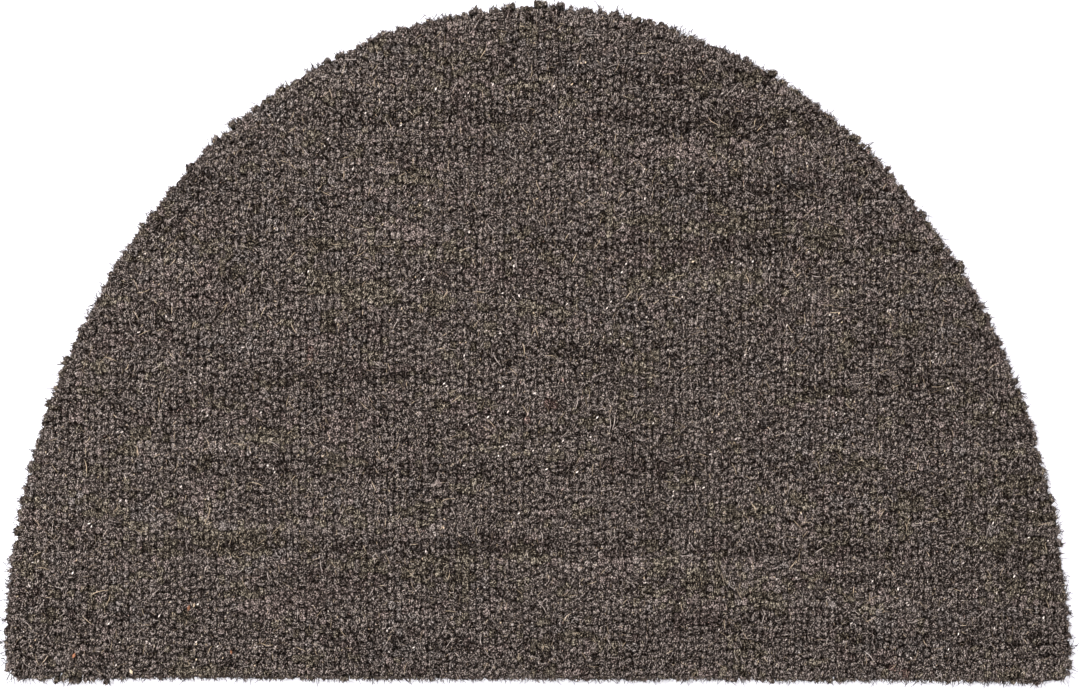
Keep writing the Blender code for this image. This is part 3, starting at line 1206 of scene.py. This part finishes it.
def add_product(tree, a, b):
    """Two colours multiplied. The node's colours go in at its sockets 6 and 7 and out at 2."""
    node = add_node(tree, "ShaderNodeMix", data_type="RGBA", blend_type="MULTIPLY")
    node.inputs["Factor"].default_value = 1.0
    tree.links.new(a, node.inputs[6])
    tree.links.new(b, node.inputs[7])
    return node.outputs[2]


def add_mapping(tree, place, scale):
    """A place stretched along its axes by this scale."""
    mapping = add_node(tree, "ShaderNodeMapping")
    mapping.inputs["Scale"].default_value = scale
    tree.links.new(place, mapping.inputs["Vector"])
    return mapping.outputs["Vector"]


def add_bump(tree, shader, height, distance, strength):
    """Small relief on a shader from a height between 0 and 1."""
    node = add_node(tree, "ShaderNodeBump")
    node.inputs["Strength"].default_value = strength
    node.inputs["Distance"].default_value = distance
    tree.links.new(height, node.inputs["Height"])
    tree.links.new(node.outputs["Normal"], shader.inputs["Normal"])


def coir_material(colours):
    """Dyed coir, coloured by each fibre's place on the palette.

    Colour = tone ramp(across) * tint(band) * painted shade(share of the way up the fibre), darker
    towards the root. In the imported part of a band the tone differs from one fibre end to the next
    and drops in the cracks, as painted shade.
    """
    material, tree, shader = fresh_material("dyed coir", roughness=0.8, specular=SHEEN_LEVEL)
    place = add_node(tree, "ShaderNodeUVMap", uv_map=PALETTE).outputs["UV"]
    parts = add_node(tree, "ShaderNodeSeparateXYZ")
    tree.links.new(place, parts.inputs["Vector"])
    across, up = parts.outputs["X"], parts.outputs["Y"]
    share = add_math(tree, "FRACT", add_math(tree, "MULTIPLY", up, float(len(TINTS))), 0.0)
    packed = add_math(tree, "LESS_THAN", share, PACKED_PART)
    ends, cracks = grain_of(tree, place)
    cracks = add_math(tree, "MULTIPLY", packed, cracks)
    ends = add_math(tree, "MULTIPLY", packed, add_math(tree, "SUBTRACT", ends, 0.5))
    tone = add_math(tree, "ADD", across, add_math(tree, "MULTIPLY", ends, colours.grain))
    # Painted shade: the tone drops in the cracks between fibre ends
    tone = add_math(tree, "SUBTRACT", tone, add_math(tree, "MULTIPLY", cracks, CRACK_PAINTED_SHADE))
    dark, pale = np.array(colours.dark), np.array(colours.pale)
    steps = np.linspace(0, 1, 9)
    tones = [(0.2 + 0.8 * s, srgb_to_linear(dark + (pale - dark) * s)) for s in steps]
    colour = add_ramp(tree, tone, tones)
    bands = [(number / len(TINTS), tint.factor) for number, tint in enumerate(TINTS)]
    tint = add_ramp(tree, up, bands, "CONSTANT")
    # Painted shade: towards a fibre's root, down in the pile, its colour falls to the root share
    root = colours.root_painted_shade
    shade = add_ramp(tree, share, [
        (PALETTE_MARGIN, [root] * 3),
        (0.40, [root + (1 - root) * 0.40] * 3),
        (0.58, [1.0] * 3),
    ])
    colour = add_product(tree, add_product(tree, colour, tint), shade)
    tree.links.new(colour, shader.inputs["Base Color"])
    add_bump(tree, shader, add_math(tree, "SUBTRACT", 1.0, cracks), 1.0 * MM, 0.8)
    return material


def grain_of(tree, place):
    """Cut fibre ends packed side by side: a random value for each, and how near its border is.

    The nearness is 1 at the border and falls to 0 at the cracks' width from it.
    """
    vector = add_mapping(tree, place, (*GRAIN_SCALE, 1.0))
    cells, edges = (
        add_node(tree, "ShaderNodeTexVoronoi", voronoi_dimensions="2D", feature=feature)
        for feature in ("F1", "DISTANCE_TO_EDGE")
    )
    for node in (cells, edges):
        node.inputs["Scale"].default_value = 1.0
        node.inputs["Randomness"].default_value = GRAIN_UNEVEN
        tree.links.new(vector, node.inputs["Vector"])
    split = add_node(tree, "ShaderNodeSeparateColor")
    tree.links.new(cells.outputs["Color"], split.inputs["Color"])
    near = add_math(tree, "DIVIDE", edges.outputs["Distance"], CRACK_WIDTH)
    near = add_math(tree, "MAXIMUM", add_math(tree, "SUBTRACT", 1.0, near), 0.0)
    return split.outputs["Red"], near


def object_noise(tree, scale, detail, stretch=(1.0, 1.0, 1.0)):
    """Cloudy values fixed to the object, stretched along its axes."""
    place = add_node(tree, "ShaderNodeTexCoord").outputs["Object"]
    noise = add_node(tree, "ShaderNodeTexNoise")
    noise.inputs["Scale"].default_value = scale
    noise.inputs["Detail"].default_value = detail
    tree.links.new(add_mapping(tree, place, stretch), noise.inputs["Vector"])
    return noise.outputs["Fac"]


def backing_material(colours):
    """The rubbery backing: dark, faintly clouded and finely pitted."""
    material, tree, shader = fresh_material("rubber backing", roughness=0.62, specular=0.35)
    base = srgb_to_linear(colours.backing)
    clouds = add_ramp(tree, object_noise(tree, 22.0, 4.0), [(0.3, base * 0.8), (0.7, base * 1.3)])
    tree.links.new(clouds, shader.inputs["Base Color"])
    add_bump(tree, shader, object_noise(tree, 900.0, 3.0), 0.4 * MM, 0.5)
    return material


def lower_pile_painted_shade_material(colours):
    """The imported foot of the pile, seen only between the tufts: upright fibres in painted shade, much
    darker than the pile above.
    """
    material, tree, shader = fresh_material("lower pile", roughness=0.9, specular=0.15)
    base = srgb_to_linear(colours.dark)
    fibres = object_noise(tree, 1400.0, 3.0, (1.0, 1.0, 0.12))
    colour = add_ramp(tree, fibres, [(0.3, base * 0.8), (0.55, base * 2.4), (0.75, base * 5.0)])
    tree.links.new(colour, shader.inputs["Base Color"])
    add_bump(tree, shader, fibres, 0.6 * MM, 0.8)
    return material


def shared_material(name, build, colours):
    """The material of this name, built the first time that it is asked for."""
    return bpy.data.materials.get(name) or build(colours)


class COIR_OT_pile(bpy.types.Operator):
    """Make the upright tufts of the pile, in bands from the straight edge to the round one"""

    bl_idname = "coir.pile"
    bl_label = "Pile"

    def execute(self, context):
        scene = context.scene
        sizes, rim, colours = scene.coir_pile, scene.coir_rim, scene.coir_colours
        random = np.random.default_rng(sizes.seed)
        tufts = pile_tufts(Outline(), sizes, rim, colours, random)
        order = np.argsort(tufts.middle[:, 1])
        coir = shared_material("dyed coir", coir_material, colours)
        for number, which in enumerate(np.array_split(order, sizes.bands), 1):
            band = tufts.some(which)
            shape = joined(
                knobs(band, sizes.bed - 0.8 * MM, random),
                strokes(band, sizes.strokes, sizes.stroke_width, random),
            )
            make_mesh(f"pile_band_{number}", shape, coir)
        return {"FINISHED"}


class COIR_OT_rim(bpy.types.Operator):
    """Make the ring of tufts that leans out past the cut"""

    bl_idname = "coir.rim"
    bl_label = "Rim tufts"

    def execute(self, context):
        scene = context.scene
        sizes, rim, colours = scene.coir_pile, scene.coir_rim, scene.coir_colours
        random = np.random.default_rng(rim.seed)
        tufts, outwards = rim_tufts(Outline(), rim, colours, random)
        low = rim.backing - 0.3 * MM
        shape = joined(
            lock_cores(tufts, outwards, low, random),
            strokes(tufts, sizes.strokes, sizes.stroke_width, random),
            skirt(tufts, outwards, low, rim.fibres, SKIRT_WIDTH, random),
        )
        make_mesh("rim_tufts", shape, shared_material("dyed coir", coir_material, colours))
        return {"FINISHED"}


class COIR_OT_loose(bpy.types.Operator):
    """Make the single fibres, specks and bits of husk that lie on the pile or stand out of its rim"""

    bl_idname = "coir.loose"
    bl_label = "Loose fibres"

    def execute(self, context):
        scene = context.scene
        rim, colours = scene.coir_rim, scene.coir_colours
        random = np.random.default_rng(rim.seed + 1)
        outline = Outline()
        coir = shared_material("dyed coir", coir_material, colours)
        make_mesh("loose_fibres", joined(
            self.strands(outline, STRAND_COUNT, random),
            self.specks(outline, SPECK_COUNT, random),
            self.bright_bits(outline, random),
            self.long_strands(outline, random),
            self.husk(outline),
        ), coir)
        make_mesh("rim_wisps", self.wisps(outline, rim.wisps, colours, random), coir)
        return {"FINISHED"}

    def scattered(self, outline, count, margin, random):
        """Places drawn evenly over the mat, at least margin from the cut."""
        flat = random.uniform(outline.low, outline.high, (count * 2, 2))
        return flat[outline.room(flat) > margin][:count]

    def on_top(self, outline, flat, above):
        """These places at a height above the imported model's top."""
        return np.column_stack([flat, outline.top(flat) + above])

    def strands(self, outline, count, random):
        """Pale fibres, 3 to 10 mm long, that lie on the pile in shallow curves."""
        flat = self.scattered(outline, count, 5 * MM, random)
        count = len(flat)
        start = self.on_top(outline, flat, -0.3 * MM)
        heading = flat_arrow(brushed_angle(count, random))
        heading[:, 2] = random.uniform(0.05, 0.32, count)
        bend = np.cross(heading, UP) * random.normal(0, 0.35, (count, 1))
        bend[:, 2] = -heading[:, 2] * random.uniform(0.7, 1.1, count)
        length = random.uniform(3, 10, count) * MM
        radius = random.uniform(0.10, 0.22, count) * MM
        tone = random.uniform(0.55, 1.0, count)
        tint = random.choice([0, TINT_NUMBER["straw"]], count)
        return hairs(start, heading, length, bend, radius, tone, tint, random, segments=5)

    def specks(self, outline, count, random):
        """Tiny undyed bits, 1 to 3 mm long. A quarter of them lie close to another."""
        flat = self.scattered(outline, count, 3 * MM, random)
        pairs = len(flat) // 4
        flat[:pairs] = flat[pairs:2 * pairs] + random.normal(0, 2.2 * MM, (pairs, 2))
        count = len(flat)
        middle = self.on_top(outline, flat, 0.5 * MM)
        axis = flat_arrow(random.normal(math.radians(60), 0.5, count))
        length = random.uniform(1.1, 2.8, count) * MM
        width = random.uniform(0.7, 1.3, count) * MM
        tone = random.uniform(0.80, 1.0, count)
        tint = random.choice([TINT_NUMBER["undyed"], TINT_NUMBER["straw"]], count, p=[0.8, 0.2])
        return chips(middle, axis, length, width, tone, tint)

    def bright_bits(self, outline, random):
        """The brightest bits at their own places, most of them slanting the same way."""
        flat = np.array(BRIGHT_BITS)
        count = len(flat)
        middle = self.on_top(outline, flat, 0.7 * MM)
        axis = flat_arrow(random.normal(math.radians(60), 0.4, count))
        length = random.uniform(2.0, 3.2, count) * MM
        tint = np.full(count, TINT_NUMBER["undyed"])
        return chips(middle, axis, length, length * 0.4, np.full(count, 0.99), tint)

    def long_strands(self, outline, random):
        """The long fibres at their own places."""
        flat = np.array([(strand.x, strand.y) for strand in STRANDS])
        length = np.array([strand.length for strand in STRANDS])
        heading = flat_arrow(np.radians([strand.angle for strand in STRANDS]))
        heading[:, 2] = 0.1
        bend = np.cross(heading, UP) * np.array([[strand.bend] for strand in STRANDS])
        bend[:, 2] = -0.1
        start = self.on_top(outline, flat, 0.4 * MM)
        start -= (heading / 2 + bend / 4) * length[:, None]
        tint = np.array([TINT_NUMBER[strand.tint] for strand in STRANDS])
        radius, tone = np.full(len(flat), 0.26 * MM), np.full(len(flat), 0.9)
        return hairs(start, heading, length, bend, radius, tone, tint, random)

    def husk(self, outline):
        """The bits of husk at their own places, pointing up the mat."""
        flat = np.array([(flake.x, flake.y) for flake in FLAKES])
        middle = self.on_top(outline, np.maximum(flat, outline.low + 3 * MM), 0.2 * MM)
        axis = flat_arrow(np.linspace(1.2, 2.0, len(FLAKES)))
        length = np.array([flake.length for flake in FLAKES])
        tone = np.array([flake.tone for flake in FLAKES])
        tint = np.array([TINT_NUMBER[flake.tint] for flake in FLAKES])
        return chips(middle, axis, length, length * 0.5, tone, tint)

    def wisps(self, outline, count, colours, random):
        """Hairs that stand out of the pile's side in bunches, up to 10 mm past it.

        A bunch shares its slant, and each hair adds some of its own. Every seventh hair is longer,
        and so are those near the ends of the straight edge, by 1 + exp(-(distance / 22 mm)^2).
        """
        bunches = count // BUNCH
        count = bunches * BUNCH
        along = np.repeat(random.uniform(0, outline.length, bunches), BUNCH)
        along = (along + random.normal(0, 1.3 * MM, count)) % outline.length
        slant = np.repeat(random.normal(0, 0.55, (bunches, 1)), BUNCH, axis=0)
        cut, outwards = outline.at(along), outline.outwards(along)
        flat = cut + outwards * (outline.lean(cut, outwards) + 0.2 * MM)[:, None]
        start = np.column_stack([flat, random.uniform(6, 15, count) * MM])
        aside = np.stack([-outwards[:, 1], outwards[:, 0]], 1)
        heading = np.column_stack([
            outwards + aside * (slant + random.normal(0, 0.35, (count, 1))),
            random.normal(0.05, 0.2, count),
        ])
        bend = np.column_stack([aside * random.normal(0, 0.35, (count, 1)), np.zeros(count)])
        bend[:, 2] = random.normal(-0.05, 0.12, count)
        length = random.gamma(2.2, 1.8, count).clip(0.8, 9) * MM
        length[::7] += 3.5 * MM
        corner = np.hypot(np.abs(cut[:, 0]) - outline.high[0], cut[:, 1] - outline.low[1])
        length *= 1 + np.exp(-((corner / (22 * MM)) ** 2))
        length = np.minimum(length, LONGEST_WISP)
        radius = random.uniform(0.16, 0.28, count) * MM
        tone = colours.middle_tone + random.normal(-0.20, 0.12, count)
        tint = np.full(count, TINT_NUMBER["plain"])
        return hairs(start, unit(heading), length, bend, radius, tone, tint, random, segments=3)


class COIR_OT_matting(bpy.types.Operator):
    bl_idname = "coir.matting"
    bl_label = "Matting"

    def execute(self, context):
        scene = context.scene
        rim, colours = scene.coir_rim, scene.coir_colours
        outline = Outline()
        rings, backed = matting_rings(outline, rim.backing, scene.coir_pile.bed)
        points, faces, level = closed_rings(rings)
        shape = Shape(points, faces, np.empty((0, 2)), np.zeros(len(faces), bool))
        matting = make_mesh(
            "matting",
            shape,
            shared_material("rubber backing", backing_material, colours),
            shared_material("lower pile", lower_pile_painted_shade_material, colours),
            slots=level >= backed - 1,
        )
        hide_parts(NODE)
        return {"FINISHED"}


class COIR_OT_stage(bpy.types.Operator):
    """Make the pale floor, the soft light and the camera straight above the mat"""

    bl_idname = "coir.stage"
    bl_label = "Stage"

    def execute(self, context):
        stage = context.scene.coir_stage
        self.floor(context.scene, stage)
        self.lights(context.scene, stage)
        self.camera(context.scene, stage)
        return {"FINISHED"}

    def floor(self, scene, stage):
        """A plain pale square, 30 m wide, just under the mat."""
        half, drop = 15.0, 0.2 * MM
        corners = [(-half, -half, -drop), (half, -half, -drop), (half, half, -drop), (-half, half, -drop)]
        mesh = bpy.data.meshes.new("floor")
        mesh.from_pydata(corners, [], [(0, 1, 2, 3)])
        material, _, shader = fresh_material("pale floor", roughness=0.9, specular=0.2)
        shader.inputs["Base Color"].default_value = (0.62, 0.61, 0.65, 1.0)
        shader.inputs["Emission Color"].default_value = (0.97, 0.95, 1.0, 1.0)
        shader.inputs["Emission Strength"].default_value = stage.floor_glow
        mesh.materials.append(material)
        floor = bpy.data.objects.new("floor", mesh)
        scene.collection.objects.link(floor)

    def lights(self, scene, stage):
        """Even light from all round, and a large soft lamp from beyond the round edge."""
        world = bpy.data.worlds.new("room")
        world.use_nodes = True
        background = world.node_tree.nodes["Background"]
        background.inputs["Color"].default_value = (1.0, 1.0, 1.0, 1.0)
        background.inputs["Strength"].default_value = stage.sky
        scene.world = world
        lamp = bpy.data.lights.new("soft lamp", "AREA")
        lamp.energy = stage.key
        lamp.size = 1.3
        place = bpy.data.objects.new("soft lamp", lamp)
        place.location = (-1.1, 0.9, 3.2)
        place.rotation_euler = (-place.location).to_track_quat("-Z", "Y").to_euler()
        scene.collection.objects.link(place)

    def camera(self, scene, stage):
        """Straight down, as high as the lens needs to take in the picture's width at the rim.

        The height is the rim's widest level plus width * focal length / sensor width.
        """
        rim_level = 0.66 * CAD_HIGH.z
        camera = bpy.data.cameras.new("camera")
        camera.lens = stage.lens
        height = rim_level + stage.width * stage.lens / camera.sensor_width
        place = bpy.data.objects.new("camera", camera)
        middle = (CAD_LOW + CAD_HIGH) / 2
        place.location = (middle.x + stage.aside[0], middle.y + stage.aside[1], height)
        place.rotation_euler = (0.0, 0.0, stage.roll)
        scene.collection.objects.link(place)
        scene.camera = place
        scene.view_settings.view_transform = "Standard"


class COIR_PT_panel(bpy.types.Panel):
    """The mat's sizes, its colours and a button for each piece"""

    bl_idname = "COIR_PT_panel"
    bl_label = "Coir Mat"
    bl_space_type = "VIEW_3D"
    bl_region_type = "UI"
    bl_category = "Coir Mat"

    def draw(self, context):
        for operator, group in STEPS:
            self.layout.operator(operator.bl_idname)
            for name in type(getattr(context.scene, group)).__annotations__:
                self.layout.prop(getattr(context.scene, group), name)


STEPS = (
    (COIR_OT_pile, "coir_pile"),
    (COIR_OT_rim, "coir_rim"),
    (COIR_OT_loose, "coir_rim"),
    (COIR_OT_matting, "coir_colours"),
    (COIR_OT_stage, "coir_stage"),
)
GROUPS = {
    "coir_pile": MatPile,
    "coir_rim": MatRim,
    "coir_colours": MatColours,
    "coir_stage": MatStage,
}
CLASSES = (*GROUPS.values(), *(operator for operator, _ in STEPS), COIR_PT_panel)


def register():
    for each in CLASSES:
        bpy.utils.register_class(each)
    for name, group in GROUPS.items():
        setattr(bpy.types.Scene, name, PointerProperty(type=group))


def unregister():
    for name in GROUPS:
        delattr(bpy.types.Scene, name)
    for each in reversed(CLASSES):
        bpy.utils.unregister_class(each)


def main():
    """Makes every piece."""
    register()
    bpy.ops.coir.pile()
    bpy.ops.coir.rim()
    bpy.ops.coir.loose()
    bpy.ops.coir.matting()
    bpy.ops.coir.stage()


if __name__ == "__main__":
    main()
